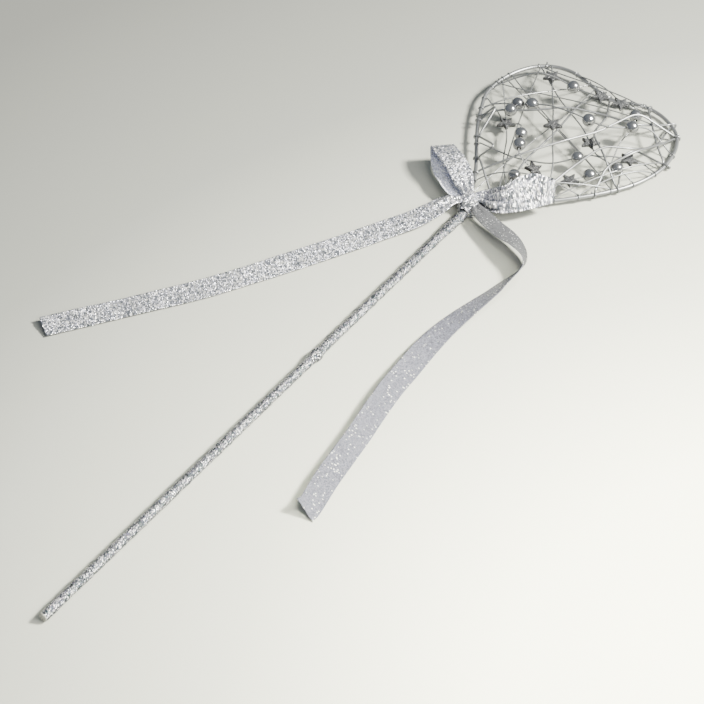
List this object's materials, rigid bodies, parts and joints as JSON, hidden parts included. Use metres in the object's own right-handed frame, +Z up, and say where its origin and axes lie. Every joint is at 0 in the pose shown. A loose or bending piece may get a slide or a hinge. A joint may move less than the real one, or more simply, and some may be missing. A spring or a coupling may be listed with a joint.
{
  "type": "magic wand",
  "caption": "Fairy wand with a ribbon-wrapped stem, a wire heart head strung with beads and stars, and a ribbon bow with two long tails.",
  "frame": {"origin": "centre of the bounding box in plan, on the surface the wand lies on", "axes": "+X along the stem towards the heart, +Z up from the surface, +Y to the left seen from above with the heart away"},
  "size_m": [0.3926, 0.1644, 0.0164],
  "materials": {
    "rod": "plain",
    "ribbon": "silver lurex weave",
    "glue": "clear hot glue",
    "steel_wire": "bright drawn wire",
    "mirror_bead": "mirror",
    "dark_bead": "mirror, smoked",
    "glitter_star": "fine silver glitter",
    "dark_star": "fine dark glitter"
  },
  "bodies": {
    "wand": {"stem_core": "rod", "stem_wrap": "ribbon", "tip_fold": "ribbon", "tip_glue": "glue", "heart_frame": "steel_wire", "neck_binding": "steel_wire", "winding_1": "steel_wire", "winding_2": "steel_wire", "winding_3": "steel_wire", "winding_4": "steel_wire", "bead_wire_1": "steel_wire", "bead_wire_2": "steel_wire", "bead_wire_3": "steel_wire", "bead_wire_4": "steel_wire", "bead_wire_5": "steel_wire", "bead_wire_6": "steel_wire", "bead_wire_7": "steel_wire", "bead_wire_8": "steel_wire", "bow_knot": "ribbon", "bow_loop_left": "ribbon", "bow_loop_right": "ribbon"},
    "bead_01": {"bead_01": "mirror_bead"},
    "bead_02": {"bead_02": "mirror_bead"},
    "bead_03": {"bead_03": "mirror_bead"},
    "bead_04": {"bead_04": "mirror_bead"},
    "bead_05": {"bead_05": "mirror_bead"},
    "bead_06": {"bead_06": "mirror_bead"},
    "bead_07": {"bead_07": "mirror_bead"},
    "bead_08": {"bead_08": "mirror_bead"},
    "bead_09": {"bead_09": "mirror_bead"},
    "bead_10": {"bead_10": "mirror_bead"},
    "bead_11": {"bead_11": "mirror_bead"},
    "bead_12": {"bead_12": "mirror_bead"},
    "bead_13": {"bead_13": "dark_bead"},
    "star_01": {"star_01": "glitter_star"},
    "star_02": {"star_02": "glitter_star"},
    "star_03": {"star_03": "glitter_star"},
    "star_04": {"star_04": "glitter_star"},
    "star_05": {"star_05": "glitter_star"},
    "star_06": {"star_06": "glitter_star"},
    "star_07": {"star_07": "glitter_star"},
    "star_08": {"star_08": "glitter_star"},
    "star_09": {"star_09": "dark_star"},
    "tail_left": {"tail_left": "ribbon"},
    "tail_right": {"tail_right": "ribbon"}
  },
  "joints": [
    {"name": "spin_bead_01", "type": "hinge", "parent": "wand", "child": "bead_01", "pos_m": [0.17972, -0.02134, 0.01031], "axis": [0.1562, -0.9709, -0.1817], "continuous": true},
    {"name": "spin_bead_02", "type": "hinge", "parent": "wand", "child": "bead_02", "pos_m": [0.15644, -0.01383, 0.01188], "axis": [0.265, -0.9378, 0.2243], "continuous": true},
    {"name": "spin_bead_03", "type": "hinge", "parent": "wand", "child": "bead_03", "pos_m": [0.14828, -0.00762, 0.01098], "axis": [0.367, -0.9176, 0.1529], "continuous": true},
    {"name": "spin_bead_04", "type": "hinge", "parent": "wand", "child": "bead_04", "pos_m": [0.13498, -0.02148, 0.01245], "axis": [-0.8858, -0.464, 0], "continuous": true},
    {"name": "spin_bead_05", "type": "hinge", "parent": "wand", "child": "bead_05", "pos_m": [0.12828, -0.02499, 0.01245], "axis": [-0.8858, -0.464, 0], "continuous": true},
    {"name": "spin_bead_06", "type": "hinge", "parent": "wand", "child": "bead_06", "pos_m": [0.15964, -0.04152, 0.01334], "axis": [0.1433, -0.9746, -0.172], "continuous": true},
    {"name": "spin_bead_07", "type": "hinge", "parent": "wand", "child": "bead_07", "pos_m": [0.1839, -0.05208, 0.00478], "axis": [-0.8717, -0.4755, -0.1189], "continuous": true},
    {"name": "spin_bead_08", "type": "hinge", "parent": "wand", "child": "bead_08", "pos_m": [0.16922, -0.05843, 0.01075], "axis": [0.6791, -0.7276, -0.097], "continuous": true},
    {"name": "spin_bead_09", "type": "hinge", "parent": "wand", "child": "bead_09", "pos_m": [0.1403, -0.04791, 0.00758], "axis": [0.6963, -0.6963, 0.1741], "continuous": true},
    {"name": "spin_bead_10", "type": "hinge", "parent": "wand", "child": "bead_10", "pos_m": [0.11477, -0.03119, 0.00665], "axis": [-0.9906, -0.1351, -0.0225], "continuous": true},
    {"name": "spin_bead_11", "type": "hinge", "parent": "wand", "child": "bead_11", "pos_m": [0.13484, -0.05769, 0.00593], "axis": [-0.7986, 0.5989, -0.0599], "continuous": true},
    {"name": "spin_bead_12", "type": "hinge", "parent": "wand", "child": "bead_12", "pos_m": [0.14473, -0.06559, 0.0068], "axis": [-0.0806, -0.9778, -0.1936], "continuous": true},
    {"name": "spin_bead_13", "type": "hinge", "parent": "wand", "child": "bead_13", "pos_m": [0.15462, -0.0074, 0.01034], "axis": [0.265, -0.9378, 0.2243], "continuous": true},
    {"name": "tilt_star_01", "type": "hinge", "parent": "wand", "child": "star_01", "pos_m": [0.18422, -0.04378, 0.00774], "axis": [0.2016, -0.9743, -0.1008], "range_deg": [-12, 12]},
    {"name": "tilt_star_02", "type": "hinge", "parent": "wand", "child": "star_02", "pos_m": [0.18227, -0.03435, 0.00871], "axis": [0.2016, -0.9743, -0.1008], "range_deg": [-12, 12]},
    {"name": "tilt_star_03", "type": "hinge", "parent": "wand", "child": "star_03", "pos_m": [0.18085, -0.00931, 0.00999], "axis": [-0.8435, -0.5342, -0.0562], "range_deg": [-12, 12]},
    {"name": "tilt_star_04", "type": "hinge", "parent": "wand", "child": "star_04", "pos_m": [0.14568, -0.00724, 0.0047], "axis": [-0.8214, -0.5704, 0.0046], "range_deg": [-12, 12]},
    {"name": "tilt_star_05", "type": "hinge", "parent": "wand", "child": "star_05", "pos_m": [0.1508, -0.02841, 0.01045], "axis": [-0.8575, -0.5145, 0], "range_deg": [-12, 12]},
    {"name": "tilt_star_06", "type": "hinge", "parent": "wand", "child": "star_06", "pos_m": [0.15307, -0.04666, 0.00697], "axis": [-0.6832, -0.7288, 0.0455], "range_deg": [-12, 12]},
    {"name": "tilt_star_07", "type": "hinge", "parent": "wand", "child": "star_07", "pos_m": [0.1538, -0.06641, 0.00595], "axis": [0.4364, -0.8729, -0.2182], "range_deg": [-12, 12]},
    {"name": "tilt_star_08", "type": "hinge", "parent": "wand", "child": "star_08", "pos_m": [0.12716, -0.05193, 0.00535], "axis": [-0.7986, 0.5989, -0.0599], "range_deg": [-12, 12]},
    {"name": "tilt_star_09", "type": "hinge", "parent": "wand", "child": "star_09", "pos_m": [0.1208, -0.03741, 0.00905], "axis": [0, -0.9285, -0.3714], "range_deg": [-12, 12]},
    {"name": "lift_tail_left", "type": "hinge", "parent": "wand", "child": "tail_left", "pos_m": [0.0856, -0.01821, 0.00675], "axis": [0.4983, 0.867, 0], "range_deg": [0, 25]},
    {"name": "lift_tail_right", "type": "hinge", "parent": "wand", "child": "tail_right", "pos_m": [0.085, -0.03221, 0.00575], "axis": [-0.2251, 0.9743, 0], "range_deg": [0, 15]}
  ]
}
